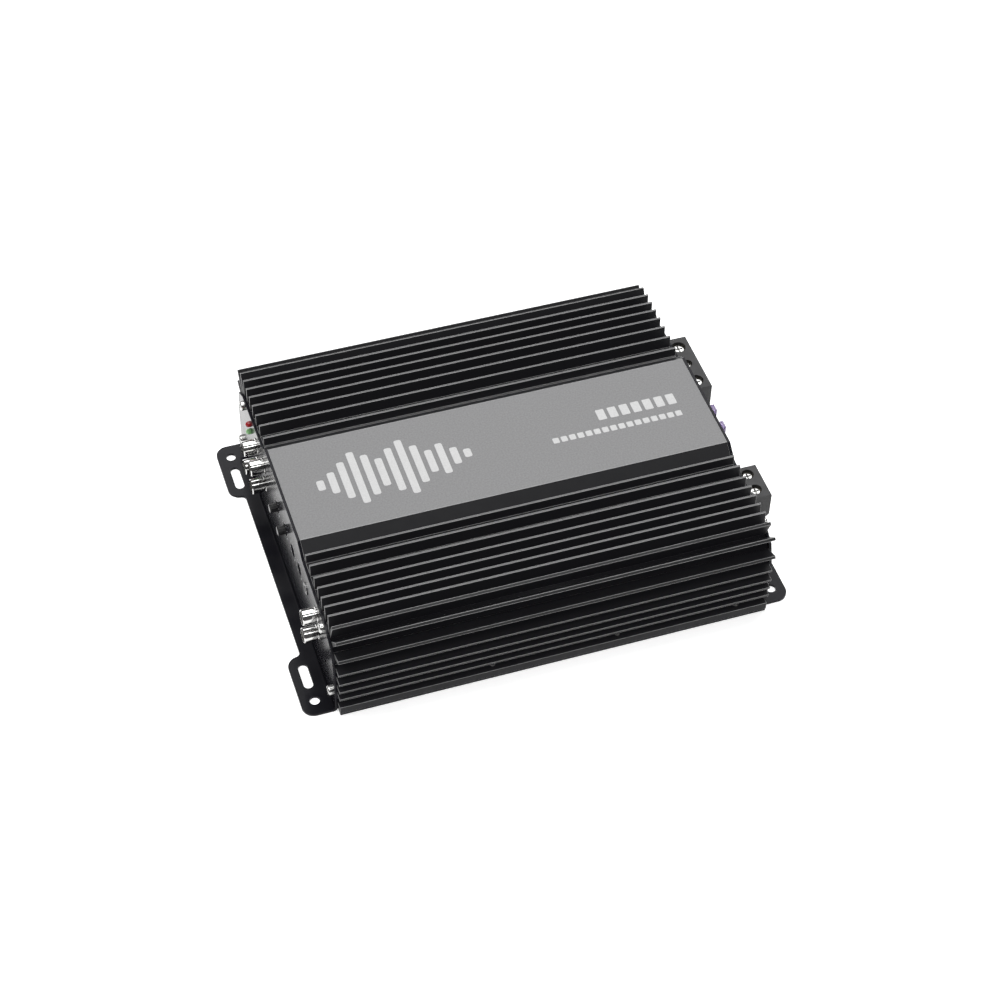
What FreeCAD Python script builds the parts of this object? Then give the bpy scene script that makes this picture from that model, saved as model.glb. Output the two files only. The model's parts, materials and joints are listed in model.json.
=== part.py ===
"""Mono car amplifier: finned aluminium case, two sheet-metal end panels and the electronics inside.

Frame, millimetres: +X runs along the extrusion from the input end to the terminal end, +Z is up,
-Y is the front long side. The origin is the bottom centre of the whole amplifier.
"""
import FreeCAD, Part
import math
import os

Vector = FreeCAD.Vector
UP = Vector(0, 0, 1)

# ---------------------------------------------------------------- driving dimensions
CASE_LENGTH = 232.0            # finned extrusion, along X
SHEET = 1.5                    # bottom cover and end-panel sheet thickness
PLATEAU_HALF_WIDTH = 32.9      # flat centre strip of the heatsink
PLATEAU_TOP = 60.3
SHOULDER = ((40.6, 54.3), (86.5, 49.3))       # y, z ends of the finned slope beside the strip
WALL_HALF_WIDTH = 94.5         # outer faces of the side walls
WALL = 3.0
RAIL_HALF_WIDTH = 101.2        # bottom rails that carry the cover
RAIL_TOP = 6.3

FLANGE_REACH = 124.5           # mounting flange edge, from the middle
EAR_REACH = 132.5
EAR_INNER, EAR_OUTER = 58.8, 97.6
EAR_CORNER = 6.5
EAR_HOLE = (125.0, 88.9, 2.65)                # x, y, radius
EAR_SLOT = (125.4, 72.4, 2.5, 16.3)           # x, y, half width, end-to-end length
INPUT_FLANGE_EXTRA, TERMINAL_FLANGE_EXTRA = 0.9, -1.1   # the two flanges differ a little in reach

SCREW_R = 1.45                 # M3 shank with its thread taken as a plain cylinder
SCREW_HOLE_R = 1.5
TOP_SCREW = (81.0, 47.3)       # y, z of the end-panel screws
LOW_SCREW = (91.8, 10.5)
COVER_SCREW_X = (-100.0, -34.0, 34.0, 100.0)
COVER_SCREW_Y = 97.2

BOARD_TOP = 22.0
BOARD = 1.6
BOARD_HALF_LENGTH, BOARD_HALF_WIDTH = 114.5, 90.8
BOARD_SCREW_X = (-105.0, -34.0, 107.5)
BOARD_SCREW_Y = 88.4

RCA_ROWS = (28.5, 42.5)        # heights of the two rows of phono sockets
RCA_QUAD_Y = (39.0, 54.0)
RCA_PAIR_Y = (-68.0,)
RCA_R = 4.2
RCA_FACE = -125.4

CONTROL_Z = 39.0               # knobs, trimmers and remote jack share one row
LEVEL_Y, LOWPASS_Y = 11.5, -5.0
BASS_Y, SUBSONIC_Y = -20.4, -33.6
JACK_Y = -47.0
LED_Y, LED_HEIGHTS = 68.0, (45.7, 40.2)
LED_R = 1.6

TERMINAL_FACE, TERMINAL_BACK = 133.4, 103.0
TERMINAL_TOP, TERMINAL_FOOT = 39.5, 23.0
TERMINAL_SCREW_X = 126.7
ENTRY_Z = 29.6                 # height of every cable entry
# name: (y, set-screw radius, cable bore radius, clamp half width)
POWER_TERMINALS = {"battery": (61.6, 3.2, 4.0, 5.4), "remote": (48.0, 2.0, 2.4, 3.6),
                   "ground": (34.2, 3.2, 4.0, 5.4)}
SPEAKER_TERMINALS = {"speaker_plus": (-40.3, 2.6, 3.0, 4.4), "speaker_minus": (-51.6, 2.6, 3.0, 4.4)}
POWER_SPAN, SPEAKER_SPAN = (27.7, 68.6), (-57.8, -35.0)

FUSE_Y = (9.0, -4.2)
FUSE_Z = 32.9
FUSE_FACE = 127.7
FUSE_HOLDER = (100.0, 119.3, -9.5, 14.3, BOARD_TOP, 44.0)

DEVICE_X = (-12.0, 0.0, 20.0, 32.0, 52.0, 64.0, 84.0, 96.0)   # transistors along each side wall
CLAMP_SCREW_X = (10.0, 42.0, 74.0)
RECTIFIERS_PER_SIDE = 2

END = CASE_LENGTH / 2          # the extrusion's end faces, and the panels' inner faces
PANEL_FACE = END + SHEET


# ---------------------------------------------------------------- small helpers
def box(x0, x1, y0, y1, z0, z1):
    return Part.makeBox(x1 - x0, y1 - y0, z1 - z0, Vector(x0, y0, z0))


def rod(radius, start, end):
    """Cylinder from one point to another."""
    a, b = Vector(*start), Vector(*end)
    return Part.makeCylinder(radius, (b - a).Length, a, b - a)


def tube(outer, inner, start, end):
    return rod(outer, start, end).cut(rod(inner, start, end))


def prism_x(points, x0, x1):
    """Solid from an outline in Y and Z, pushed along X."""
    corners = [Vector(x0, y, z) for y, z in points]
    return Part.Face(Part.makePolygon(corners + corners[:1])).extrude(Vector(x1 - x0, 0, 0))


def mirrored_outline(half):
    return half + [(-y, z) for y, z in reversed(half)]


def mirror_y(shape):
    return shape.mirror(Vector(0, 0, 0), Vector(0, 1, 0))


def mirror_x(shape):
    return shape.mirror(Vector(0, 0, 0), Vector(1, 0, 0))


def place(shape, position, direction):
    """Copy of a shape built up +Z, turned to a direction and moved to a position."""
    turned = shape.copy()
    turned.Placement = FreeCAD.Placement(Vector(*position), FreeCAD.Rotation(UP, Vector(*direction)))
    return turned


def fillet_where(shape, radius, wanted):
    """Round the edges whose centre satisfies a test."""
    return shape.makeFillet(radius, [e for e in shape.Edges if wanted(e)])


def pan_screw(head_r, head_h, shank_r, shank_length):
    """Cross-head screw, head underside at the origin, head up."""
    head = rod(head_r, (0, 0, 0), (0, 0, head_h))
    head = head.makeFillet(head_h * 0.45, [e for e in head.Edges
                                           if abs(e.CenterOfMass.z - head_h) < 1e-6
                                           and e.Curve.TypeId == "Part::GeomCircle"])
    arm, width, depth = head_r * 0.55, head_r * 0.14, head_h * 0.6
    for a, b in ((arm, width), (width, arm)):
        head = head.cut(box(-a, a, -b, b, head_h - depth, head_h + 1))
    return head.fuse(rod(shank_r, (0, 0, -shank_length), (0, 0, 0))).removeSplitter()


def set_screw(radius, length):
    """Headless terminal screw with a slot and a cross, top face at the origin."""
    body = rod(radius, (0, 0, -length), (0, 0, 0))
    edges = [e for e in body.Edges if e.Curve.TypeId == "Part::GeomCircle"]
    body = body.makeChamfer(0.35, edges)
    body = body.cut(box(-radius * 0.75, radius * 0.75, -0.5, 0.5, -1.6, 1))
    return body.cut(box(-0.5, 0.5, -radius * 0.75, radius * 0.75, -1.6, 1))


def export(name, shape):
    shape.exportStep("parts/%s.step" % name)


def export_all(name, shapes):
    export(name, Part.makeCompound(shapes))


# ---------------------------------------------------------------- case
def case_profile():
    outer = [(PLATEAU_HALF_WIDTH, PLATEAU_TOP), SHOULDER[0], SHOULDER[1], (WALL_HALF_WIDTH, 40.5),
             (WALL_HALF_WIDTH, RAIL_TOP), (RAIL_HALF_WIDTH, RAIL_TOP), (RAIL_HALF_WIDTH, SHEET)]
    inner_y = WALL_HALF_WIDTH - WALL
    inner = [(inner_y, SHEET), (inner_y, 39.0), (84.0, 46.2), (40.0, 50.5), (33.0, 55.3)]
    return mirrored_outline(outer + inner)


def fin(root, tip, root_width, tip_width):
    """One tapered fin between two points of the section."""
    dy, dz = tip[0] - root[0], tip[1] - root[1]
    length = math.hypot(dy, dz)
    ny, nz = -dz / length, dy / length
    a, b = root_width / 2, tip_width / 2
    outline = [(root[0] + ny * a, root[1] + nz * a), (tip[0] + ny * b, tip[1] + nz * b),
               (tip[0] - ny * b, tip[1] - nz * b), (root[0] - ny * a, root[1] - nz * a)]
    return prism_x(outline, -END, END)


def fin_root(y):
    """Start of an upright fin, a little way into the sloping top wall."""
    (y0, z0), (y1, z1) = SHOULDER
    return z0 + (y - y0) * (z1 - z0) / (y1 - y0) - 1.5


def fins():
    """Seven upright fins, three fanned corner fins and four side fins, for the +Y half."""
    upright_tips = ((42.7, 59.5), (51.0, 60.6), (59.2, 60.5), (66.3, 60.7), (73.0, 60.8), (79.3, 60.9),
                    (85.6, 61.0))
    fanned = (((86.9, 47.0), (92.9, 60.0)), ((89.6, 43.6), (100.1, 55.8)), ((92.5, 39.6), (103.1, 44.7)))
    side_tips = ((102.0, 32.6), (102.7, 26.0), (102.3, 19.5), (102.2, 13.6))
    result = [fin((y, fin_root(y)), (y, z), 1.9, 1.2) for y, z in upright_tips]
    result += [fin(root, tip, 2.8, 1.7) for root, tip in fanned]
    result += [fin((93.0, z), (y, z), 2.0, 1.3) for y, z in side_tips]
    return result


def heatsink():
    half = fins()
    inner_y = WALL_HALF_WIDTH - WALL
    half.append(box(-END, END, inner_y - 6.0, inner_y + 0.5, 17.2, BOARD_TOP - BOARD))
    for y, z in (TOP_SCREW, LOW_SCREW):
        half.append(rod(2.9, (-END, y, z), (END, y, z)))
    shape = prism_x(case_profile(), -END, END).multiFuse(half + [mirror_y(s) for s in half])
    shape = shape.removeSplitter()
    holes = []
    for side in (-1, 1):
        for y, z in (TOP_SCREW, LOW_SCREW):
            holes.append(rod(SCREW_HOLE_R, (-END - 1, side * y, z), (END + 1, side * y, z)))
        for x in COVER_SCREW_X:
            holes.append(rod(SCREW_HOLE_R, (x, side * COVER_SCREW_Y, 0), (x, side * COVER_SCREW_Y, RAIL_TOP + 1)))
        for x in BOARD_SCREW_X:
            holes.append(rod(SCREW_HOLE_R, (x, side * BOARD_SCREW_Y, 16), (x, side * BOARD_SCREW_Y, 21)))
        for x in CLAMP_SCREW_X:
            holes.append(rod(SCREW_HOLE_R, (x, side * 90, 29.5), (x, side * 94.0, 29.5)))
    return shape.cut(Part.makeCompound(holes))


def countersunk_screw():
    """Flat-head screw, head face down at the origin, shank up."""
    head = Part.makeCone(2.7, SCREW_R, 1.25, Vector(0, 0, 0.05))
    shape = head.fuse(rod(SCREW_R, (0, 0, 1.3), (0, 0, 5.8))).removeSplitter()
    for a, b in ((1.5, 0.35), (0.35, 1.5)):
        shape = shape.cut(box(-a, a, -b, b, 0, 1.0))
    return shape


def bottom_cover():
    plate = box(-END + 0.3, END - 0.3, -RAIL_HALF_WIDTH + 0.3, RAIL_HALF_WIDTH - 0.3, 0, SHEET)
    for x in COVER_SCREW_X:
        for y in (-COVER_SCREW_Y, COVER_SCREW_Y):
            plate = plate.cut(Part.makeCone(2.85, SCREW_HOLE_R, 1.35, Vector(x, y, -0.02)))
            plate = plate.cut(rod(SCREW_HOLE_R, (x, y, 1), (x, y, 2)))
    return plate


def slot_cutter(x, y, half_width, length, z0, z1):
    """Round-ended slot along Y."""
    reach = length / 2 - half_width
    return box(x - half_width, x + half_width, y - reach, y + reach, z0, z1).fuse(
        [rod(half_width, (x, y + s * reach, z0), (x, y + s * reach, z1)) for s in (-1, 1)])


def blank_end_panel(extra):
    """Terminal-side panel without its windows: upright sheet, bend, flange and two drilled ears."""
    bend = 2.5
    flange_edge, ear_edge = FLANGE_REACH + extra, EAR_REACH + extra
    outline = mirrored_outline([(33.4, PLATEAU_TOP), (41.2, 53.9), (84.0, 51.3), (94.0, 45.0),
                                (EAR_OUTER, 33.0), (EAR_OUTER, bend)])
    sheet = prism_x(outline, END, PANEL_FACE)
    axis_a, axis_b = (END + bend, -EAR_OUTER, bend), (END + bend, EAR_OUTER, bend)
    corner = tube(bend, bend - SHEET, axis_a, axis_b)
    corner = corner.common(box(END, END + bend, -EAR_OUTER, EAR_OUTER, 0, bend))
    flange = box(END + bend, flange_edge, -EAR_OUTER, EAR_OUTER, 0, SHEET)
    for side in (-1, 1):
        y0, y1 = sorted((side * EAR_INNER, side * EAR_OUTER))
        flange = flange.fuse(box(END + bend, ear_edge, y0, y1, 0, SHEET))
    flange = flange.removeSplitter()
    flange = fillet_where(flange, EAR_CORNER, lambda e: abs(e.CenterOfMass.x - ear_edge) < 1e-6
                          and abs(e.CenterOfMass.z - SHEET / 2) < 1e-6 and e.Length < 2)
    flange = fillet_where(flange, 2.5, lambda e: abs(e.CenterOfMass.x - flange_edge) < 1e-6
                          and abs(abs(e.CenterOfMass.y) - EAR_INNER) < 1e-6 and e.Length < 2)
    for side in (-1, 1):
        x, y, radius = EAR_HOLE
        flange = flange.cut(rod(radius, (x + extra, side * y, -1), (x + extra, side * y, 3)))
        x, y, half_width, length = EAR_SLOT
        flange = flange.cut(slot_cutter(x + extra, side * y, half_width, length, -1, 3))
    panel = sheet.fuse([corner, flange]).removeSplitter()
    for side in (-1, 1):
        for y, z in (TOP_SCREW, LOW_SCREW):
            panel = panel.cut(rod(1.7, (END - 1, side * y, z), (PANEL_FACE + 1, side * y, z)))
    return panel


def round_windows(panel, holes):
    """Cut round holes (y, z, radius) through the input panel's upright sheet."""
    for y, z, radius in holes:
        panel = panel.cut(rod(radius, (-END + 1, y, z), (-PANEL_FACE - 1, y, z)))
    return panel


def input_panel():
    holes = [(y, z, RCA_R + 0.4) for y in RCA_QUAD_Y + RCA_PAIR_Y for z in RCA_ROWS]
    holes += [(LEVEL_Y, CONTROL_Z, 3.5), (LOWPASS_Y, CONTROL_Z, 3.5)]
    holes += [(y, CONTROL_Z, 3.5) for y in (BASS_Y, SUBSONIC_Y, JACK_Y)]
    holes += [(LED_Y, z, LED_R + 0.15) for z in LED_HEIGHTS]
    return round_windows(mirror_x(blank_end_panel(INPUT_FLANGE_EXTRA)), holes)


def terminal_panel():
    panel = blank_end_panel(TERMINAL_FLANGE_EXTRA)
    gap = 0.35
    windows = [(y0 - gap, y1 + gap, TERMINAL_FOOT - gap, TERMINAL_TOP + gap) for y0, y1 in
               (POWER_SPAN, SPEAKER_SPAN)]
    windows.append((FUSE_HOLDER[2] - gap, FUSE_HOLDER[3] + gap, FUSE_HOLDER[4] - gap, FUSE_HOLDER[5] + gap))
    for y0, y1, z0, z1 in windows:
        panel = panel.cut(box(END - 1, PANEL_FACE + 1, y0, y1, z0, z1))
    return panel


def end_panel_screws():
    screw = pan_screw(2.7, 2.4, SCREW_R, 9.0)
    return [place(screw, (end * PANEL_FACE, side * y, z), (end, 0, 0))
            for end in (-1, 1) for side in (-1, 1) for y, z in (TOP_SCREW, LOW_SCREW)]


# ---------------------------------------------------------------- circuit boards
def main_board():
    board = box(-BOARD_HALF_LENGTH, BOARD_HALF_LENGTH, -BOARD_HALF_WIDTH, BOARD_HALF_WIDTH,
                BOARD_TOP - BOARD, BOARD_TOP)
    for x in BOARD_SCREW_X:
        for y in (-BOARD_SCREW_Y, BOARD_SCREW_Y):
            board = board.cut(rod(1.6, (x, y, 20), (x, y, 23)))
    return board


def board_screws():
    screw = pan_screw(2.3, 1.7, SCREW_R, 5.5)
    return [place(screw, (x, y, BOARD_TOP), (0, 0, 1))
            for x in BOARD_SCREW_X for y in (-BOARD_SCREW_Y, BOARD_SCREW_Y)]


CONTROL_BOARD_X = -104.0       # face that carries the controls
DRIVER_BOARD_Y = -40.8


def control_board():
    return box(CONTROL_BOARD_X, CONTROL_BOARD_X + BOARD, -54, 18, BOARD_TOP, 46)


def driver_board():
    return box(-30, 18, DRIVER_BOARD_Y, DRIVER_BOARD_Y + BOARD, BOARD_TOP, 42)


def board_headers():
    behind_controls = box(CONTROL_BOARD_X + BOARD, CONTROL_BOARD_X + BOARD + 2.5, -40, 4,
                          BOARD_TOP, BOARD_TOP + 2.5)
    behind_driver = box(-26, 14, DRIVER_BOARD_Y + BOARD, DRIVER_BOARD_Y + BOARD + 2.5,
                        BOARD_TOP, BOARD_TOP + 2.5)
    return [behind_controls, behind_driver]


# ---------------------------------------------------------------- phono sockets
RCA_TAIL_R = 2.8
RCA_BACK = -100.0


def rca_places():
    return [(y, z) for y in RCA_QUAD_Y + RCA_PAIR_Y for z in RCA_ROWS]


def rca_housing(centres):
    """Moulded block that carries a two-row group of phono sockets behind the panel."""
    block = box(-END + 0.2, RCA_BACK, min(centres) - 6.8, max(centres) + 6.8, BOARD_TOP, 46.4)
    for y in centres:
        for z in RCA_ROWS:
            block = block.cut(rod(RCA_TAIL_R, (-END - 1, y, z), (-107.0, y, z)))
            block = block.cut(rod(1.2, (-108.0, y, z), (RCA_BACK + 1, y, z)))
    return block


def rca_shell(y, z):
    """Nickel sleeve: grooved barrel outside the panel, thinner tail inside the block."""
    groove = RCA_R - 0.35
    barrel = [(-END - 0.1, RCA_R), (-117.9, RCA_R), (-118.2, groove), (-119.0, groove), (-119.3, RCA_R),
              (RCA_FACE + 0.5, RCA_R), (RCA_FACE, RCA_R - 0.3), (RCA_FACE, 3.6), (-117.2, 3.6)]
    tail = [(-117.2, 2.4), (-107.1, 2.4), (-107.1, RCA_TAIL_R), (-END - 0.1, RCA_TAIL_R)]
    outline = [Vector(x, y + radius, z) for x, radius in barrel + tail]
    face = Part.Face(Part.makePolygon(outline + outline[:1]))
    return face.revolve(Vector(0, y, z), Vector(1, 0, 0), 360)


def rca_insulator(y, z):
    return tube(3.55, 2.0, (-117.3, y, z), (RCA_FACE + 2.4, y, z)).fuse(
        tube(2.35, 2.0, (-117.3, y, z), (-107.1, y, z))).removeSplitter()


def rca_contact(y, z):
    contact = tube(1.95, 1.62, (-108.0, y, z), (RCA_FACE + 2.6, y, z))
    return contact.fuse([rod(1.95, (-107.2, y, z), (-108.0, y, z)),
                         rod(1.15, (RCA_BACK + 0.5, y, z), (-107.2, y, z))]).removeSplitter()


# ---------------------------------------------------------------- controls
KNOB_R = 2.5
KNOB_FACE = -121.8
STEM_R = 1.5
POT_FACE = -113.0


def knob(y):
    """Small fluted knob with its stem."""
    body = rod(KNOB_R, (KNOB_FACE, y, CONTROL_Z), (POT_FACE - 0.5, y, CONTROL_Z))
    body = fillet_where(body, 0.5, lambda e: abs(e.CenterOfMass.x - KNOB_FACE) < 1e-6
                        and e.Curve.TypeId == "Part::GeomCircle")
    flutes = []
    for i in range(12):
        a = math.radians(30 * i + 15)
        cy, cz = y + 2.75 * math.cos(a), CONTROL_Z + 2.75 * math.sin(a)
        flutes.append(rod(0.45, (KNOB_FACE - 1, cy, cz), (KNOB_FACE + 4.2, cy, cz)))
    body = body.cut(Part.makeCompound(flutes))
    body = body.cut(box(KNOB_FACE - 1, KNOB_FACE + 0.8, y - 0.35, y + 0.35, CONTROL_Z, CONTROL_Z + 4))
    return body.fuse(rod(STEM_R, (POT_FACE - 0.5, y, CONTROL_Z), (-106.0, y, CONTROL_Z))).removeSplitter()


def control_body(y, half, face, bore):
    """Square body of a rotary control on the control board, with its bore."""
    body = box(face, CONTROL_BOARD_X, y - half, y + half, CONTROL_Z - half, CONTROL_Z + half)
    return body.cut(rod(bore, (face - 1, y, CONTROL_Z), (-105.4, y, CONTROL_Z)))


def trimmer_rotor(y):
    rotor = rod(2.4, (-114.2, y, CONTROL_Z), (-112.6, y, CONTROL_Z)).fuse(
        rod(STEM_R, (-112.6, y, CONTROL_Z), (-106.0, y, CONTROL_Z))).removeSplitter()
    return rotor.cut(box(-115, -113.3, y - 2.0, y + 2.0, CONTROL_Z - 0.4, CONTROL_Z + 0.4))


JACK_BORE_R = 1.8


def jack_body():
    body = box(-114.5, CONTROL_BOARD_X, JACK_Y - 4.6, JACK_Y + 4.6, CONTROL_Z - 5, CONTROL_Z + 5)
    return body.cut(rod(JACK_BORE_R, (-115, JACK_Y, CONTROL_Z), (-105.4, JACK_Y, CONTROL_Z)))


def jack_bushing():
    return tube(3.3, JACK_BORE_R, (-118.1, JACK_Y, CONTROL_Z), (-114.5, JACK_Y, CONTROL_Z))


def led(z):
    """Round indicator with a domed front and a rim."""
    dome_x = -120.1 + LED_R
    body = rod(LED_R, (dome_x, LED_Y, z), (-113.8, LED_Y, z))
    dome = Part.makeSphere(LED_R, Vector(dome_x, LED_Y, z))
    rim = rod(LED_R + 0.3, (-114.6, LED_Y, z), (-113.8, LED_Y, z))
    return body.fuse([dome, rim]).removeSplitter()


def led_holder():
    return box(-113.8, -106, LED_Y - 3.5, LED_Y + 3.5, BOARD_TOP, 46.9)


# ---------------------------------------------------------------- screw terminals
CLAMP_FRONT, CLAMP_BACK = 130.2, 114.0
CLAMP_LOW, CLAMP_HIGH = 24.6, 37.0
SET_SCREW_TOP, SET_SCREW_LENGTH = 37.8, 3.9


def terminal_housing(span, terminals):
    """Moulded block through the panel: pockets open at the back, round entries, screw wells on top."""
    y0, y1 = span
    block = box(TERMINAL_BACK, END - 0.3, y0, y1, BOARD_TOP, TERMINAL_TOP).fuse(
        box(END - 0.3, TERMINAL_FACE, y0, y1, TERMINAL_FOOT, TERMINAL_TOP)).removeSplitter()
    block = block.makeChamfer(1.6, [e for e in block.Edges if abs(e.CenterOfMass.x - TERMINAL_FACE) < 1e-6
                                    and abs(e.CenterOfMass.z - TERMINAL_FOOT) < 1e-6])
    block = block.makeFillet(0.5, [e for e in block.Edges if abs(e.CenterOfMass.z - TERMINAL_TOP) < 1e-6
                                   and e.CenterOfMass.x > PANEL_FACE + 1])
    for y, screw_r, bore_r, half in terminals.values():
        block = block.cut(box(TERMINAL_BACK - 1, CLAMP_FRONT + 0.1, y - half - 0.1, y + half + 0.1,
                              CLAMP_LOW - 0.1, CLAMP_HIGH + 0.1))
        block = block.cut(rod(bore_r + 0.3, (CLAMP_FRONT, y, ENTRY_Z), (TERMINAL_FACE + 1, y, ENTRY_Z)))
        block = block.cut(rod(screw_r + 0.65, (TERMINAL_SCREW_X, y, CLAMP_HIGH),
                              (TERMINAL_SCREW_X, y, TERMINAL_TOP + 1)))
    return block


def terminal_clamp(y, screw_r, bore_r, half):
    """Plated brass block: cable bore along X, threaded hole from the top."""
    clamp = box(CLAMP_BACK, CLAMP_FRONT, y - half, y + half, CLAMP_LOW, CLAMP_HIGH)
    clamp = clamp.cut(rod(bore_r, (CLAMP_BACK - 1, y, ENTRY_Z), (CLAMP_FRONT + 1, y, ENTRY_Z)))
    return clamp.cut(rod(screw_r + 0.06, (TERMINAL_SCREW_X, y, ENTRY_Z), (TERMINAL_SCREW_X, y, CLAMP_HIGH + 1)))


def terminal_screw(y, screw_r):
    return place(set_screw(screw_r, SET_SCREW_LENGTH), (TERMINAL_SCREW_X, y, SET_SCREW_TOP), (0, 0, 1))


# ---------------------------------------------------------------- fuses
BLADE_OFFSET, BLADE_WIDTH, BLADE_THICK = 4.9, 5.0, 0.7
BLADE_TIP, FUSE_SEAT = 108.6, 116.4


def blade_heights():
    return [FUSE_Z - BLADE_OFFSET, FUSE_Z + BLADE_OFFSET]


def fuse_holder():
    holder = box(*FUSE_HOLDER)
    holder = fillet_where(holder, 0.6, lambda e: abs(e.CenterOfMass.x - FUSE_HOLDER[1]) < 1e-6)
    for y in FUSE_Y:
        holder = holder.cut(box(FUSE_SEAT - 0.1, FUSE_HOLDER[1] + 1, y - 2.8, y + 2.8, FUSE_Z - 9.6, FUSE_Z + 9.6))
        for z in blade_heights():
            holder = holder.cut(box(112, FUSE_SEAT, y - 0.6, y + 0.6, z - 2.8, z + 2.8))
            holder = holder.cut(box(FUSE_HOLDER[0] - 1, 113.5, y - 1.7, y + 1.7, z - 3.1, z + 3.1))
    return holder


def fuse_contact(y, z):
    """Forked clip that grips one blade."""
    clip = box(101.0, 112.8, y - 1.3, y + 1.3, z - 2.9, z + 2.9)
    return clip.cut(box(107.6, 113, y - 0.42, y + 0.42, z - 3, z + 3))


def fuse_body(y):
    """Moulded fuse body with finger ribs on its broad sides and a hollow for the link."""
    body = box(FUSE_SEAT, FUSE_FACE, y - 1.9, y + 1.9, FUSE_Z - 9.3, FUSE_Z + 9.3)
    body = body.fuse(box(FUSE_SEAT + 1.0, FUSE_FACE - 2.6, y - 2.5, y + 2.5, FUSE_Z - 7.6, FUSE_Z + 7.6))
    body = body.fuse(box(FUSE_FACE - 2.2, FUSE_FACE, y - 2.5, y + 2.5, FUSE_Z - 9.3, FUSE_Z + 9.3))
    body = body.removeSplitter()
    body = body.cut(box(FUSE_SEAT + 1.2, FUSE_FACE - 1.0, y - 0.9, y + 0.9, FUSE_Z - 8.2, FUSE_Z + 8.2))
    for z in blade_heights():
        body = body.cut(box(FUSE_SEAT - 1, FUSE_SEAT + 2, y - BLADE_THICK / 2, y + BLADE_THICK / 2,
                            z - BLADE_WIDTH / 2, z + BLADE_WIDTH / 2))
    return body


def fuse_blades(y):
    """Two blades joined by the thin link inside the body."""
    t = BLADE_THICK / 2
    low, high = blade_heights()
    blades = [box(BLADE_TIP, 124.0, y - t, y + t, z - BLADE_WIDTH / 2, z + BLADE_WIDTH / 2) for z in (low, high)]
    link = box(121.0, 122.6, y - 0.15, y + 0.15, low, high)
    return blades[0].fuse([blades[1], link]).removeSplitter()


# ---------------------------------------------------------------- parts on the main board
def ring_core(x, y, outer, inner, height):
    z0 = BOARD_TOP + 3.2
    ring = tube(outer, inner, (x, y, z0), (x, y, z0 + height))
    return ring.makeFillet(1.0, [e for e in ring.Edges if e.Curve.TypeId == "Part::GeomCircle"])


def ring_winding(x, y, outer, inner, height, turns, wire):
    """Separate turns of thick wire round a ring core, drawn as rounded rectangular loops."""
    gap, z0 = 0.2, BOARD_TOP + 3.2
    half = wire / 2
    loop = box(inner - gap - wire, outer + gap + wire, -half, half, z0 - gap - wire, z0 + height + gap + wire)
    loop = loop.makeFillet(wire * 0.7, [e for e in loop.Edges if abs(e.CenterOfMass.y) < 1e-6])
    loop = loop.cut(box(inner - gap, outer + gap, -wire, wire, z0 - gap, z0 + height + gap))
    result = []
    for i in range(turns):
        turn = loop.copy()
        turn.rotate(Vector(0, 0, 0), UP, 360.0 * i / turns)
        turn.translate(Vector(x, y, 0))
        result.append(turn)
    return result


def can_capacitor(x, y, radius, height):
    """Aluminium can with a rolled groove near its foot and a scored top."""
    can = rod(radius, (x, y, BOARD_TOP), (x, y, BOARD_TOP + height))
    can = fillet_where(can, 0.8, lambda e: abs(e.CenterOfMass.z - BOARD_TOP - height) < 1e-6
                       and e.Curve.TypeId == "Part::GeomCircle")
    ring = Part.makeTorus(radius + 0.35, 0.9, Vector(x, y, BOARD_TOP + 2.6))
    can = can.cut(ring)
    arm, top = radius * 0.6, BOARD_TOP + height
    can = can.cut(box(x - arm, x + arm, y - 0.15, y + 0.15, top - 0.3, top + 1))
    return can.cut(box(x - 0.15, x + 0.15, y - arm, y + arm, top - 0.3, top + 1))


def film_capacitor(x, y):
    block = box(x - 9, x + 9, y - 4, y + 4, BOARD_TOP, BOARD_TOP + 15)
    return fillet_where(block, 0.6, lambda e: e.CenterOfMass.z > BOARD_TOP + 1)


def chip(x, y, half_length, half_width):
    """Small surface-mount circuit with gull-wing legs, lying on the main board."""
    body = box(x - half_length, x + half_length, y - half_width, y + half_width, BOARD_TOP + 0.2, BOARD_TOP + 2)
    legs = []
    for side in (-1, 1):
        for i in range(-2, 3):
            y0, y1 = sorted((y + side * (half_width - 0.1), y + side * (half_width + 1.2)))
            legs.append(box(x + i * 1.5 - 0.25, x + i * 1.5 + 0.25, y0, y1, BOARD_TOP, BOARD_TOP + 0.5))
    return body.fuse(legs).removeSplitter()


TAB_FACE = WALL_HALF_WIDTH - WALL - 0.4      # a 0.4 pad lies between the tabs and the wall


def device_body(x, side):
    y0, y1 = sorted((side * (TAB_FACE - 4.2), side * (TAB_FACE - 1.3)))
    return box(x - 5, x + 5, y0, y1, 24.2, 33.2)


def device_metal(x, side):
    """Mounting tab and three legs of one power device."""
    y0, y1 = sorted((side * (TAB_FACE - 1.3), side * TAB_FACE))
    tab = box(x - 5, x + 5, y0, y1, 24.2, 38.8).cut(rod(1.8, (x, side * 85, 36), (x, side * 95, 36)))
    y0, y1 = sorted((side * (TAB_FACE - 3.1), side * (TAB_FACE - 2.6)))
    return [tab] + [box(x + i * 2.54 - 0.4, x + i * 2.54 + 0.4, y0, y1, BOARD_TOP, 24.2) for i in (-1, 0, 1)]


def wall_strip(side, depth_in, depth_out, z0, z1, hole_r):
    """Long strip beside the wall, drilled for the clamp screws."""
    y0, y1 = sorted((side * depth_in, side * depth_out))
    strip = box(DEVICE_X[0] - 7, DEVICE_X[-1] + 7, y0, y1, z0, z1)
    for x in CLAMP_SCREW_X:
        strip = strip.cut(rod(hole_r, (x, side * 80, 29.5), (x, side * 95, 29.5)))
    return strip


def clamp_screws():
    screw = pan_screw(2.8, 2.0, SCREW_R, 8.4)
    return [place(screw, (x, side * (TAB_FACE - 6.2), 29.5), (0, -side, 0))
            for side in (-1, 1) for x in CLAMP_SCREW_X]


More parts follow.
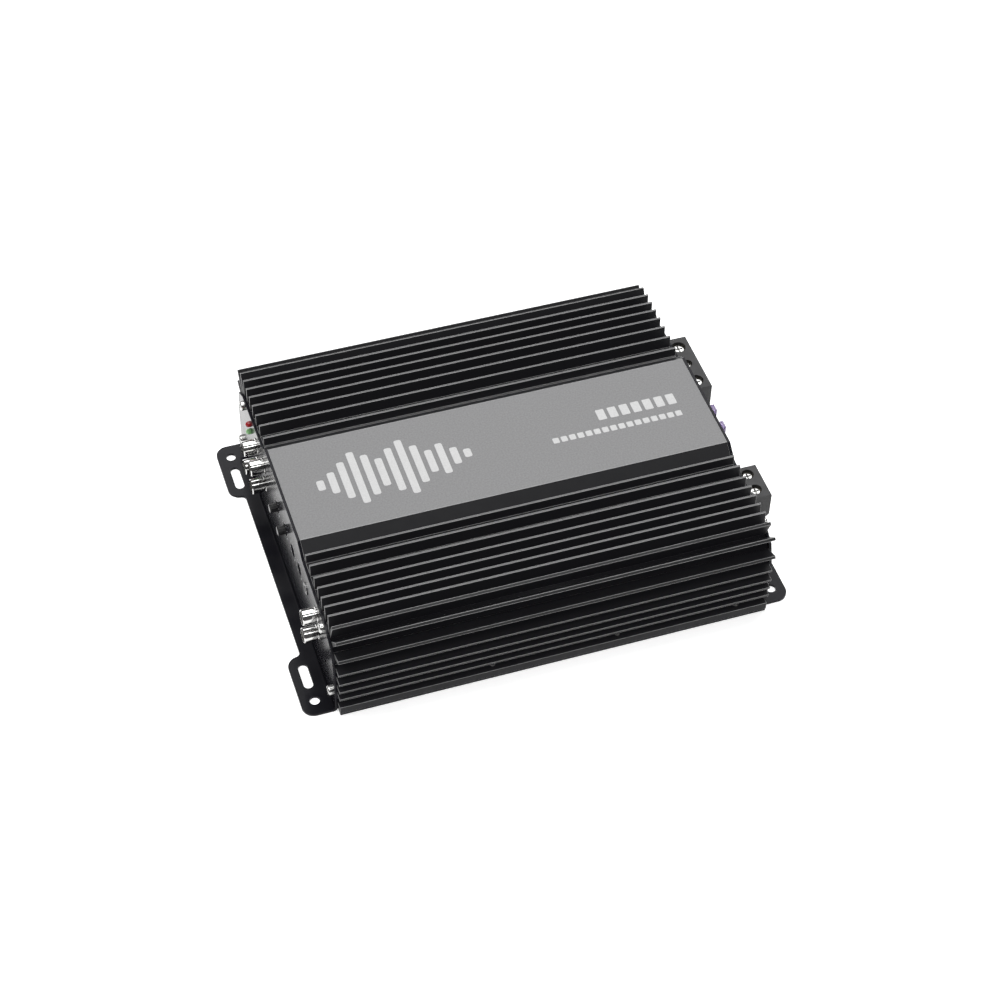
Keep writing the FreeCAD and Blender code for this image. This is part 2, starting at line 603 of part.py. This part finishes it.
# ---------------------------------------------------------------- build
def build_case():
    export("heatsink_extrusion", heatsink())
    export("bottom_cover", bottom_cover())
    flat_head = countersunk_screw()
    export_all("bottom_cover_screws", [place(flat_head, (x, y, 0), (0, 0, 1))
                                       for x in COVER_SCREW_X for y in (-COVER_SCREW_Y, COVER_SCREW_Y)])
    export("input_end_panel", input_panel())
    export("terminal_end_panel", terminal_panel())
    export_all("end_panel_screws", end_panel_screws())


def build_boards():
    export("main_circuit_board", main_board())
    export_all("board_screws", board_screws())
    export("control_board", control_board())
    export("driver_board", driver_board())
    export_all("board_headers", board_headers())


def build_input_end():
    export("rca_quad_housing", rca_housing(RCA_QUAD_Y))
    export("rca_pair_housing", rca_housing(RCA_PAIR_Y))
    export_all("rca_shells", [rca_shell(y, z) for y, z in rca_places()])
    export_all("rca_insulators", [rca_insulator(y, z) for y, z in rca_places()])
    export_all("rca_centre_contacts", [rca_contact(y, z) for y, z in rca_places()])
    export("level_knob", knob(LEVEL_Y))
    export("lowpass_knob", knob(LOWPASS_Y))
    export_all("potentiometer_bodies", [control_body(y, 5.0, POT_FACE, STEM_R + 0.06)
                                        for y in (LEVEL_Y, LOWPASS_Y)])
    export("bass_trimmer_rotor", trimmer_rotor(BASS_Y))
    export("subsonic_trimmer_rotor", trimmer_rotor(SUBSONIC_Y))
    export_all("trimmer_bodies", [control_body(y, 4.5, -112.3, STEM_R + 0.06) for y in (BASS_Y, SUBSONIC_Y)])
    export("remote_jack_body", jack_body())
    export("remote_jack_bushing", jack_bushing())
    export("protect_led", led(LED_HEIGHTS[0]))
    export("power_led", led(LED_HEIGHTS[1]))
    export("led_holder", led_holder())


def build_terminal_end():
    for name, span, terminals in (("power", POWER_SPAN, POWER_TERMINALS),
                                  ("speaker", SPEAKER_SPAN, SPEAKER_TERMINALS)):
        export(name + "_terminal_housing", terminal_housing(span, terminals))
        export_all(name + "_terminal_clamps", [terminal_clamp(*values) for values in terminals.values()])
        for terminal, (y, screw_r, _, _) in terminals.items():
            export(terminal + "_screw", terminal_screw(y, screw_r))
    export("fuse_holder", fuse_holder())
    export_all("fuse_contacts", [fuse_contact(y, z) for y in FUSE_Y for z in blade_heights()])
    for letter, y in zip("ab", FUSE_Y):
        export("fuse_%s_body" % letter, fuse_body(y))
        export("fuse_%s_blades" % letter, fuse_blades(y))


def build_electronics():
    transformer = (50.0, 40.0, 18.5, 11.0, 13.0)          # x, y, outer, inner, height
    inductor = (54.0, -44.0, 15.5, 8.5, 12.0)
    export("transformer_core", ring_core(*transformer))
    export_all("transformer_winding", ring_winding(*transformer, turns=22, wire=2.2))
    export("output_inductor_core", ring_core(*inductor))
    export_all("output_inductor_winding", ring_winding(*inductor, turns=18, wire=1.9))
    export_all("input_capacitors", [can_capacitor(88, y, 8.0, 22) for y in (30, 47, 64)])
    export_all("rail_capacitors", [can_capacitor(x, y, 9.0, 28) for x in (-14, 8) for y in (-12, 9)])
    export_all("signal_capacitors", [can_capacitor(x, y, 3.2, 11) for x in (-90, -78) for y in (-50, -20, 10, 40)])
    export_all("output_film_capacitors", [film_capacitor(88, y) for y in (-40, -54)])
    export_all("preamp_circuits", [chip(x, y, 4.9, 2.0) for x in (-84, -62) for y in (-35, -5, 25)])
    export_all("driver_circuits", [box(x - 5, x + 5, DRIVER_BOARD_Y - 2.0, DRIVER_BOARD_Y, 28, 36) for x in (-20, 4)])
    rectifier_x, mosfet_x = DEVICE_X[:RECTIFIERS_PER_SIDE], DEVICE_X[RECTIFIERS_PER_SIDE:]
    export_all("supply_mosfets", [device_body(x, 1) for x in mosfet_x])
    export_all("output_mosfets", [device_body(x, -1) for x in mosfet_x])
    export_all("rectifiers", [device_body(x, side) for x in rectifier_x for side in (-1, 1)])
    metal = []
    for side in (-1, 1):
        for x in DEVICE_X:
            metal += device_metal(x, side)
    export_all("device_tabs_and_legs", metal)
    export_all("insulator_pads", [wall_strip(s, TAB_FACE, TAB_FACE + 0.4, 23.4, 38.9, 1.7) for s in (-1, 1)])
    export_all("clamp_bars", [wall_strip(s, TAB_FACE - 6.2, TAB_FACE - 4.2, 26.0, 33.0, 1.6) for s in (-1, 1)])
    export_all("clamp_screws", clamp_screws())


os.makedirs("parts", exist_ok=True)
build_case()
build_boards()
build_input_end()
build_terminal_end()
build_electronics()
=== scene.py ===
import json
import math

import bmesh
import bpy
from mathutils import Matrix, Vector


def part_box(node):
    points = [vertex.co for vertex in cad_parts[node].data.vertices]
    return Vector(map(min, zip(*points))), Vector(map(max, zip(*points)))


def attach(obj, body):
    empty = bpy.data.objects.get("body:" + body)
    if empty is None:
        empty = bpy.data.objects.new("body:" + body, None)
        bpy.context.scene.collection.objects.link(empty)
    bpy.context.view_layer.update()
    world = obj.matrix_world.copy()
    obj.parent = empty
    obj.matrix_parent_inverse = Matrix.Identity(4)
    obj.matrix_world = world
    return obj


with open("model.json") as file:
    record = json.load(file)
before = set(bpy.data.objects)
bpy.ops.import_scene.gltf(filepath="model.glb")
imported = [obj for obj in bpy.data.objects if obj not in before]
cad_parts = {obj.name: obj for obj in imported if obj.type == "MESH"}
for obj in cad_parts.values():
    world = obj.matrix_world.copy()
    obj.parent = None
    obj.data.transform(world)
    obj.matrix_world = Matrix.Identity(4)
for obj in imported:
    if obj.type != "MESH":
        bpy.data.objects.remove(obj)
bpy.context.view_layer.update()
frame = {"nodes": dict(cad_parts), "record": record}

MM = 0.001
UM = 0.000001
nodes = frame["nodes"]

INK_THICKNESS = 0.04 * MM
PANEL_SHEET = 1.5 * MM              # thickness of the end panels
CASE_END = 115.9 * MM               # just inside the extrusion's two end faces
LONG_EDGE = 3.0 * MM                # shorter edges of the end faces stay sharp
FIN_TIP_SHORTEST = 200.0 * MM
FIN_TIP_WIDEST = 2.0 * MM
UPRIGHT_TIPS_ABOVE = 50.0 * MM
OUTWARD_TIPS_BEYOND = 90.0 * MM
STRIP_HALF_WIDTH = 33.0 * MM        # bounds that hold only the flat centre strip
STRIP_ABOVE = 59.0 * MM
DIAL_RADIUS = 5.2 * MM


# ---------------------------------------------------------------- node-tree helper
class Tree:
    """A new material with short calls for the texture nodes used below."""

    def __init__(self, name, **constants):
        self.material = bpy.data.materials.new(name)
        self.material.use_nodes = True
        self.nodes = self.material.node_tree.nodes
        self.links = self.material.node_tree.links
        self.shader = self.nodes["Principled BSDF"]
        for socket, value in constants.items():
            self.shader.inputs[socket.replace("_", " ")].default_value = value

    def feed(self, socket, output):
        self.links.new(output, self.shader.inputs[socket])

    def place(self, stretch=(1, 1, 1)):
        """Object coordinates in metres, scaled along each axis."""
        coords = self.nodes.new("ShaderNodeTexCoord")
        mapping = self.nodes.new("ShaderNodeMapping")
        mapping.inputs["Scale"].default_value = stretch
        self.links.new(coords.outputs["Object"], mapping.inputs["Vector"])
        return mapping.outputs["Vector"]

    def noise(self, size, detail=2.0, stretch=(1, 1, 1)):
        """Noise whose features are about `size` metres across."""
        node = self.nodes.new("ShaderNodeTexNoise")
        node.inputs["Scale"].default_value = 1 / size
        node.inputs["Detail"].default_value = detail
        self.links.new(self.place(stretch), node.inputs["Vector"])
        return node.outputs["Fac"]

    def cells(self, size, metric):
        """Cells about `size` metres across."""
        node = self.nodes.new("ShaderNodeTexVoronoi")
        node.distance = metric
        node.inputs["Scale"].default_value = 1 / size
        self.links.new(self.place(), node.inputs["Vector"])
        return node.outputs["Distance"]

    def spread(self, value, low, high, start=0.3, end=0.7):
        """Maps a texture value on to a range."""
        node = self.nodes.new("ShaderNodeMapRange")
        self.links.new(value, node.inputs["Value"])
        for socket, number in zip(("From Min", "From Max", "To Min", "To Max"), (start, end, low, high)):
            node.inputs[socket].default_value = number
        return node.outputs["Result"]

    def blend(self, value, colour_a, colour_b, start=0.3, end=0.7):
        """Colour that runs from one to the other as a value goes from start to end."""
        node = self.nodes.new("ShaderNodeValToRGB")
        for element, at, colour in zip(node.color_ramp.elements, (start, end), (colour_a, colour_b)):
            element.position = at
            element.color = (*colour, 1)
        self.links.new(value, node.inputs["Fac"])
        return node.outputs["Color"]

    def layer(self, factor, under, over):
        """One colour output laid over another."""
        node = self.nodes.new("ShaderNodeMix")
        node.data_type = "RGBA"
        self.links.new(factor, node.inputs["Factor"])
        self.links.new(under, node.inputs["A"])
        self.links.new(over, node.inputs["B"])
        return node.outputs["Result"]

    def bump(self, height, depth):
        """Adds relief of about `depth` metres."""
        node = self.nodes.new("ShaderNodeBump")
        node.inputs["Strength"].default_value = 1.0
        node.inputs["Distance"].default_value = depth
        self.links.new(height, node.inputs["Height"])
        self.feed("Normal", node.outputs["Normal"])


def shade(colour, factor):
    return tuple(channel * factor for channel in colour)


# ---------------------------------------------------------------- materials
def coated(name, colour, variation, roughness, grain, depth, **constants):
    """Paint or moulded plastic: soft colour drift, uneven gloss and a fine grained surface."""
    tree = Tree(name, **constants)
    drift = tree.noise(22 * MM, 4)
    speck = tree.noise(grain, 3)
    broad = tree.blend(drift, shade(colour, 1 - variation), shade(colour, 1 + variation))
    fine = tree.blend(speck, shade(colour, 1 - 1.6 * variation), shade(colour, 1 + 1.6 * variation))
    half = tree.spread(drift, 0.45, 0.55)
    tree.feed("Base Color", tree.layer(half, broad, fine))
    tree.feed("Roughness", tree.spread(tree.noise(6 * MM, 3), roughness - 0.05, roughness + 0.05))
    tree.bump(speck, depth)
    return tree.material


def plated(name, colour, roughness, stretch=(1, 1, 1)):
    """Bright metal with faint polishing lines and slight tarnish."""
    tree = Tree(name, Metallic=1.0)
    tarnish = tree.noise(5 * MM, 3)
    lines = tree.noise(0.25 * MM, 2, stretch)
    tree.feed("Base Color", tree.blend(tarnish, shade(colour, 0.88), colour))
    tree.feed("Roughness", tree.spread(lines, roughness * 0.85, roughness * 1.2))
    tree.bump(lines, 1.5 * UM)
    return tree.material


def satin_black():
    """The extrusion's powder coat; a faint emission lifts its darkest parts."""
    return coated("satin_black_coat", (0.0115, 0.0115, 0.0124), 0.15, 0.48, 0.4 * MM, 30 * UM,
                  Specular_IOR_Level=0.18, Emission_Color=(0.85, 0.85, 1.0, 1), Emission_Strength=0.0045)


def strip_grey(name, low, high):
    """Centre strip and upright fin tips: a fine grained grey, lighter than the coat; on the upright tips
    this lighter grey is a painted sheen of the light from above.
    """
    tree = Tree(name, Specular_IOR_Level=0.4)
    grain = tree.noise(0.9 * MM, 5)
    tree.feed("Base Color", tree.blend(grain, (low, low, low + 0.002), (high, high, high + 0.003)))
    tree.feed("Roughness", tree.spread(tree.noise(0.5 * MM, 2), 0.42, 0.52))
    tree.bump(tree.noise(0.5 * MM, 4), 12 * UM)
    return tree.material


def tip_painted_highlight():
    """Tips of the side and corner fins, a little lighter than the coat: a painted highlight of the light
    on the tip faces.
    """
    return coated("fin_tip_painted_highlight", (0.018, 0.018, 0.019), 0.12, 0.46, 0.4 * MM, 20 * UM,
                  Specular_IOR_Level=0.3)


def painted_edge_highlight():
    """Sharp edges of the extrusion, painted light grey: a painted highlight where the edges catch the
    light.
    """
    return coated("painted_edge_highlight", (0.27, 0.27, 0.272), 0.1, 0.42, 0.5 * MM, 10 * UM,
                  Specular_IOR_Level=0.5)


def sheet_enamel():
    """Semi-gloss enamel with a faint orange peel."""
    tree = Tree("sheet_enamel", Specular_IOR_Level=0.09)
    drift = tree.noise(15 * MM, 3)
    tree.feed("Base Color", tree.blend(drift, (0.0085, 0.0085, 0.0112), (0.0105, 0.0105, 0.0137)))
    tree.feed("Roughness", tree.spread(tree.noise(9 * MM, 2), 0.17, 0.21))
    tree.bump(tree.noise(0.6 * MM, 3), 2 * UM)
    return tree.material


def solder_mask():
    """Green board laminate with lighter tracks and tinned pads."""
    tree = Tree("solder_mask")
    tracks = tree.cells(5.5 * MM, "MANHATTAN")
    pads = tree.cells(3.2 * MM, "CHEBYCHEV")
    ground = tree.blend(tree.noise(9 * MM, 3), (0.004, 0.06, 0.02), (0.006, 0.09, 0.03))
    lines = tree.blend(tracks, (0.02, 0.2, 0.07), (0.004, 0.07, 0.022), 0.42, 0.46)
    marks = tree.blend(pads, (0.65, 0.63, 0.58), (0.0, 0.0, 0.0), 0.1, 0.12)
    mask = tree.spread(pads, 1.0, 0.0, 0.1, 0.12)
    colour = tree.layer(tree.spread(tree.noise(30 * MM, 2), 0.3, 0.8), ground, lines)
    tree.feed("Base Color", tree.layer(mask, colour, marks))
    tree.feed("Roughness", tree.spread(tree.noise(2 * MM, 2), 0.25, 0.4))
    tree.bump(tracks, 40 * UM)
    return tree.material


def winding_copper():
    """Enamelled wire with a clear gloss."""
    tree = Tree("enamelled_copper", Metallic=0.85, Coat_Weight=0.6, Coat_Roughness=0.15)
    tree.feed("Base Color", tree.blend(tree.noise(4 * MM, 3), (0.42, 0.12, 0.04), (0.62, 0.23, 0.09)))
    tree.feed("Roughness", tree.spread(tree.noise(1 * MM, 2), 0.22, 0.38))
    tree.bump(tree.noise(0.5 * MM, 2), 10 * UM)
    return tree.material


def clear_plastic(name, dark, light, transmission):
    """Tinted see-through plastic with faint flow marks."""
    tree = Tree(name, IOR=1.49, Transmission_Weight=transmission)
    flow = tree.noise(2.5 * MM, 3, (1, 3, 1))
    tree.feed("Base Color", tree.blend(flow, dark, light))
    tree.feed("Roughness", tree.spread(tree.noise(1.5 * MM, 2), 0.08, 0.2))
    tree.bump(flow, 20 * UM)
    return tree.material


def print_ink():
    """White screen print, slightly uneven and chalky."""
    tree = Tree("print_ink")
    tree.feed("Base Color", tree.blend(tree.noise(0.5 * MM, 3), (0.44, 0.44, 0.44), (0.53, 0.53, 0.53)))
    tree.feed("Roughness", tree.spread(tree.noise(2 * MM, 2), 0.42, 0.58))
    tree.bump(tree.noise(0.3 * MM, 2), 6 * UM)
    return tree.material


def brushed(name, colour, roughness, stretch):
    """Rolled or brushed metal, for springs and can tops, with lines along one direction."""
    tree = Tree(name, Metallic=1.0)
    lines = tree.noise(0.4 * MM, 4, stretch)
    tree.feed("Base Color", tree.blend(lines, shade(colour, 0.8), colour))
    tree.feed("Roughness", tree.spread(lines, roughness - 0.08, roughness + 0.08))
    tree.bump(lines, 8 * UM)
    return tree.material


SLOT_MATERIALS = {
    "black_extrusion": satin_black(),
    "black_sheet": sheet_enamel(),
    "zinc_screw": plated("zinc_plate", (0.58, 0.58, 0.57), 0.22),
    "board_laminate": solder_mask(),
    "black_plastic": coated("black_plastic", (0.007, 0.007, 0.008), 0.15, 0.24, 0.4 * MM, 10 * UM,
                            Specular_IOR_Level=0.3),
    "terminal_plastic": coated("terminal_plastic", (0.024, 0.024, 0.025), 0.12, 0.48, 0.5 * MM, 40 * UM,
                               Specular_IOR_Level=0.35),
    "nickel": plated("bright_nickel", (0.66, 0.655, 0.645), 0.08, (1, 0.15, 0.15)),
    "white_plastic": coated("white_plastic", (0.62, 0.62, 0.59), 0.06, 0.4, 0.5 * MM, 20 * UM),
    "red_lens": clear_plastic("red_lens", (0.38, 0.01, 0.015), (0.55, 0.02, 0.03), 0.35),
    "green_lens": clear_plastic("green_lens", (0.22, 0.55, 0.2), (0.35, 0.7, 0.3), 0.35),
    "plated_brass": plated("plated_brass", (0.74, 0.68, 0.55), 0.25, (1, 4, 1)),
    "fuse_plastic": clear_plastic("fuse_plastic", (0.34, 0.22, 0.55), (0.5, 0.36, 0.72), 0.7),
    "tinned_metal": plated("tinned_metal", (0.72, 0.72, 0.71), 0.3, (1, 1, 5)),
    "ferrite": coated("ferrite_coat", (0.03, 0.05, 0.035), 0.2, 0.5, 0.6 * MM, 50 * UM),
    "enamelled_copper": winding_copper(),
    "capacitor_sleeve": coated("capacitor_sleeve", (0.012, 0.016, 0.045), 0.2, 0.25, 0.8 * MM, 10 * UM),
    "film_case": coated("film_case", (0.35, 0.03, 0.012), 0.12, 0.3, 0.7 * MM, 20 * UM),
    "epoxy": coated("moulded_epoxy", (0.015, 0.015, 0.016), 0.2, 0.55, 0.3 * MM, 30 * UM),
    "thermal_pad": coated("thermal_pad", (0.3, 0.32, 0.36), 0.1, 0.65, 0.8 * MM, 60 * UM),
    "spring_steel": brushed("spring_steel", (0.55, 0.55, 0.56), 0.35, (0.05, 1, 1)),
}
STRIP = strip_grey("strip_grey_sheen", 0.157, 0.2)
# upright fin tips: lighter grey than the side tips, a painted sheen of the light from above
UPRIGHT_TIP = strip_grey("upright_tip_sheen", 0.075, 0.105)
# side and corner fin tips: a little lighter than the coat, a painted highlight
TIP_PAINTED_HIGHLIGHT = tip_painted_highlight()
# edge bevels: light grey, a painted highlight along the sharp edges
EDGE_HIGHLIGHT = painted_edge_highlight()
INK = print_ink()
DARK_NICKEL = plated("dark_nickel", (0.3, 0.3, 0.3), 0.2)
CAN_TOP = brushed("can_top", (0.75, 0.75, 0.75), 0.35, (1, 0.2, 1))


# ---------------------------------------------------------------- CAD nodes: materials and soft edges
def paint(node, material):
    node.data.materials.clear()
    node.data.materials.append(material)


def paint_faces(node, material, chosen):
    """Gives a second material to the faces that pass a test."""
    node.data.materials.append(material)
    index = len(node.data.materials) - 1
    for face in node.data.polygons:
        if chosen(face, node.data):
            face.material_index = index


def mark_long_edges(mesh):
    """Marks the edges of painted faces, and the long edges of the case's two ends, for the bevel."""
    weights = mesh.attributes.new("bevel_weight_edge", "FLOAT", "EDGE").data
    painted = {key for face in mesh.polygons if face.material_index for key in face.edge_keys}
    for edge in mesh.edges:
        a, b = (mesh.vertices[i].co for i in edge.vertices)
        at_end = min(abs(a.x), abs(b.x)) > CASE_END
        if edge.key in painted or (at_end and (a - b).length > LONG_EDGE):
            weights[edge.index].value = 1.0


def soften(node, width, edge_material=None):
    """Rounds sharp edges a little, so that they catch the light as real edges do.

    With an edge material, only the marked edges are rounded, and they take that material.
    """
    weld = node.modifiers.new("weld", "WELD")
    weld.merge_threshold = 0.002 * MM
    flat = node.modifiers.new("merge_flat", "DECIMATE")
    flat.decimate_type = "DISSOLVE"
    flat.angle_limit = math.radians(0.5)
    flat.delimit = {"MATERIAL"}
    bevel = node.modifiers.new("soft_edges", "BEVEL")
    bevel.width = width
    bevel.segments = 2
    bevel.angle_limit = math.radians(35)
    bevel.limit_method = "WEIGHT" if edge_material else "ANGLE"
    bevel.use_clamp_overlap = not edge_material
    bevel.harden_normals = True
    if edge_material:
        mark_long_edges(node.data)
        node.data.materials.append(edge_material)
        bevel.material = len(node.data.materials) - 1
    even = node.modifiers.new("even_normals", "WEIGHTED_NORMAL")
    even.weight = 100
    node.data.shade_smooth()


def fin_tip_face(face, mesh):
    """True on a fin's tip: narrow, and nearly as long as the case."""
    corners = [mesh.vertices[i].co for i in face.vertices]
    spans = [max(c[k] for c in corners) - min(c[k] for c in corners) for k in range(3)]
    return spans[0] > FIN_TIP_SHORTEST and math.hypot(spans[1], spans[2]) < FIN_TIP_WIDEST


def upright_tip_face(face, mesh):
    return fin_tip_face(face, mesh) and face.normal.z > 0.99 and face.center.z > UPRIGHT_TIPS_ABOVE


def outward_tip_face(face, mesh):
    return fin_tip_face(face, mesh) and abs(face.center.y) > OUTWARD_TIPS_BEYOND


def centre_strip_face(face, _):
    return face.normal.z > 0.99 and abs(face.center.y) < STRIP_HALF_WIDTH and face.center.z > STRIP_ABOVE


def upward_face(face, _):
    return face.normal.z > 0.9


def dress_cad_nodes():
    for part in frame["record"]["subparts"]:
        paint(nodes[part["node"]], SLOT_MATERIALS[part["material_slot"]])
    paint(nodes["remote_jack_bushing"], DARK_NICKEL)
    heatsink = nodes["heatsink_extrusion"]
    # the up-facing fin tips take the painted sheen
    paint_faces(heatsink, UPRIGHT_TIP, upright_tip_face)
    paint_faces(heatsink, STRIP, centre_strip_face)
    # the side and corner fin tips take the painted highlight
    paint_faces(heatsink, TIP_PAINTED_HIGHLIGHT, outward_tip_face)
    for name in ("input_capacitors", "rail_capacitors", "signal_capacitors"):
        paint_faces(nodes[name], CAN_TOP, upward_face)
    # the marked edges are rounded and painted light grey, a painted highlight
    soften(heatsink, 0.2 * MM, EDGE_HIGHLIGHT)
    for name in ("input_end_panel", "terminal_end_panel", "bottom_cover"):
        soften(nodes[name], 0.15 * MM)
    for name in ("power_terminal_housing", "speaker_terminal_housing", "fuse_holder"):
        soften(nodes[name], 0.25 * MM)
    for name in ("fuse_a_body", "fuse_b_body", "level_knob", "lowpass_knob"):
        soften(nodes[name], 0.15 * MM)


# ---------------------------------------------------------------- printed marks
def flat_piece(name, outlines, to_world):
    """Thin raised print made of several outlines; to_world turns (u, v, height) into a point."""
    mesh = bpy.data.meshes.new(name)
    shape = bmesh.new()
    for outline in outlines:
        low = [shape.verts.new(to_world(u, v, 0)) for u, v in outline]
        high = [shape.verts.new(to_world(u, v, INK_THICKNESS)) for u, v in outline]
        shape.faces.new(high)
        shape.faces.new(low[::-1])
        for i in range(len(outline)):
            j = (i + 1) % len(outline)
            shape.faces.new((low[i], low[j], high[j], high[i]))
    bmesh.ops.recalc_face_normals(shape, faces=shape.faces)
    shape.to_mesh(mesh)
    shape.free()
    piece = bpy.data.objects.new(name, mesh)
    bpy.context.collection.objects.link(piece)
    piece.data.materials.append(INK)
    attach(piece, "case")


def rounded_bar(u0, u1, v0, v1, radius, steps=4):
    """Outline of a bar with round corners."""
    points = []
    for cu, cv, start in ((u1 - radius, v1 - radius, 0), (u0 + radius, v1 - radius, 90),
                          (u0 + radius, v0 + radius, 180), (u1 - radius, v0 + radius, 270)):
        for i in range(steps + 1):
            angle = math.radians(start + 90 * i / steps)
            points.append((cu + radius * math.cos(angle), cv + radius * math.sin(angle)))
    return points


def disc(u, v, radius, steps=16):
    """Outline of a round dot."""
    angles = [2 * math.pi * i / steps for i in range(steps)]
    return [(u + radius * math.cos(angle), v + radius * math.sin(angle)) for angle in angles]


def strip_top():
    """Height of the centre strip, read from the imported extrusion."""
    mesh = nodes["heatsink_extrusion"].data
    return max(face.center.z for face in mesh.polygons if centre_strip_face(face, mesh))


def print_waveform(top):
    """Generic sound wave near the input end: upright bars of different lengths."""
    lengths = (7, 15, 26, 37, 29, 20, 31, 39, 27, 16, 22, 12, 6)        # in mm
    start, pitch, width, corner = -98 * MM, 6.6 * MM, 4.0 * MM, 1.2 * MM
    outlines = []
    for i, length in enumerate(lengths):
        left = start + i * pitch
        reach = length / 2 * MM
        outlines.append(rounded_bar(left, left + width, -reach, reach, corner))
    flat_piece("top_print_waveform", outlines, lambda u, v, h: (u, v, top + h))


def print_scale(top):
    """Generic scale near the terminal end: a row of tall bars over a long row of short ones."""
    # first bar, count, pitch, bar width, lower end and upper end, in mm
    tall = (57, 7, 6.6, 4.6, 1.8, 9.4)
    short = (28.5, 16, 4.6, 3.4, -7.4, -3.6)
    corner = 0.6 * MM
    outlines = []
    for first, count, pitch, width, low, high in (tall, short):
        for i in range(count):
            start = first + i * pitch
            outlines.append(rounded_bar(start * MM, (start + width) * MM, low * MM, high * MM, corner))
    flat_piece("top_print_scale", outlines, lambda u, v, h: (u, v, top + h))


def arc_dots(y, z, radius, count=11, spread=280):
    """Dial dots round a control, open at the bottom."""
    dots = []
    for i in range(count):
        angle = math.radians(90 + spread / 2 - spread * i / (count - 1))
        size = 0.45 if i in (0, count // 2, count - 1) else 0.3
        dots.append(disc(y + radius * math.cos(angle), z + radius * math.sin(angle), size * MM))
    return dots


def print_input_panel():
    """Dial dots round the four controls, printed on the outer face of the input panel."""
    face_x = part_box("input_end_panel")[1].x - PANEL_SHEET
    outlines = []
    for node in ("level_knob", "lowpass_knob", "bass_trimmer_rotor", "subsonic_trimmer_rotor"):
        low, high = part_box(node)
        outlines += arc_dots((low.y + high.y) / 2, (low.z + high.z) / 2, DIAL_RADIUS)
    flat_piece("input_panel_dials", outlines, lambda y, z, h: (face_x - h, y, z))


# ---------------------------------------------------------------- camera, lights and floor
def look(location, target, roll=0.0):
    """World matrix at a location, looking at a target."""
    forward = (Vector(target) - Vector(location)).normalized()
    matrix = forward.to_track_quat("-Z", "Y").to_matrix().to_4x4()
    return Matrix.Translation(location) @ matrix @ Matrix.Rotation(roll, 4, "Z")


def add_camera():
    """A long lens, 19 degrees round from the front and 47.5 degrees up."""
    aim = Vector((-2.0, -10.7, 30.0)) * MM
    distance = 1.2487
    azimuth, elevation, roll = math.radians(-19.18), math.radians(47.55), math.radians(1.41)
    back = Vector((math.sin(azimuth) * math.cos(elevation), -math.cos(azimuth) * math.cos(elevation),
                   math.sin(elevation)))
    camera = bpy.data.objects.new("camera", bpy.data.cameras.new("camera"))
    camera.data.lens = 84.74
    camera.data.sensor_width = 36.0
    camera.matrix_world = look(aim + back * distance, aim, roll)
    bpy.context.collection.objects.link(camera)
    bpy.context.scene.camera = camera


def add_softbox(name, location, target, width, height, power):
    """Rectangular light in metres and watts."""
    light = bpy.data.lights.new(name, "AREA")
    light.shape = "RECTANGLE"
    light.size, light.size_y = width, height
    light.energy = power
    lamp = bpy.data.objects.new(name, light)
    lamp.matrix_world = look(Vector(location), Vector(target))
    bpy.context.collection.objects.link(lamp)


def add_floor():
    """Large pale sweep with a hint of unevenness."""
    mesh = bpy.data.meshes.new("floor")
    half = 6.0
    corners = [(-half, -half, 0), (half, -half, 0), (half, half, 0), (-half, half, 0)]
    mesh.from_pydata(corners, [], [(0, 1, 2, 3)])
    floor = bpy.data.objects.new("floor", mesh)
    bpy.context.collection.objects.link(floor)
    tree = Tree("pale_floor", Specular_IOR_Level=0.2, Emission_Color=(1, 1, 1, 1), Emission_Strength=0.62)
    tree.feed("Base Color", tree.blend(tree.noise(0.4, 2), (0.86, 0.86, 0.86), (0.88, 0.88, 0.88)))
    tree.feed("Roughness", tree.spread(tree.noise(0.1, 2), 0.6, 0.7))
    floor.data.materials.append(tree.material)


def add_world(strength):
    world = bpy.data.worlds.new("studio")
    world.use_nodes = True
    background = world.node_tree.nodes["Background"]
    background.inputs["Color"].default_value = (1, 1, 1, 1)
    background.inputs["Strength"].default_value = strength
    bpy.context.scene.world = world


def light_studio():
    """Long strip lights along the case, so that round metal shows clean bands."""
    add_world(0.1)
    add_softbox("back_strip", (0.35, 1.35, 1.45), (0, 0, 0.05), 2.6, 0.7, 21)
    add_softbox("top_strip", (-0.1, 0.35, 2.0), (0, 0, 0), 2.6, 0.8, 37)
    add_softbox("front_strip", (-0.1, -0.9, 1.9), (0, 0, 0), 2.6, 0.3, 14)
    bpy.context.scene.view_settings.view_transform = "Standard"


add_camera()
dress_cad_nodes()
strip_level = strip_top()
print_waveform(strip_level)
print_scale(strip_level)
print_input_panel()
add_floor()
light_studio()
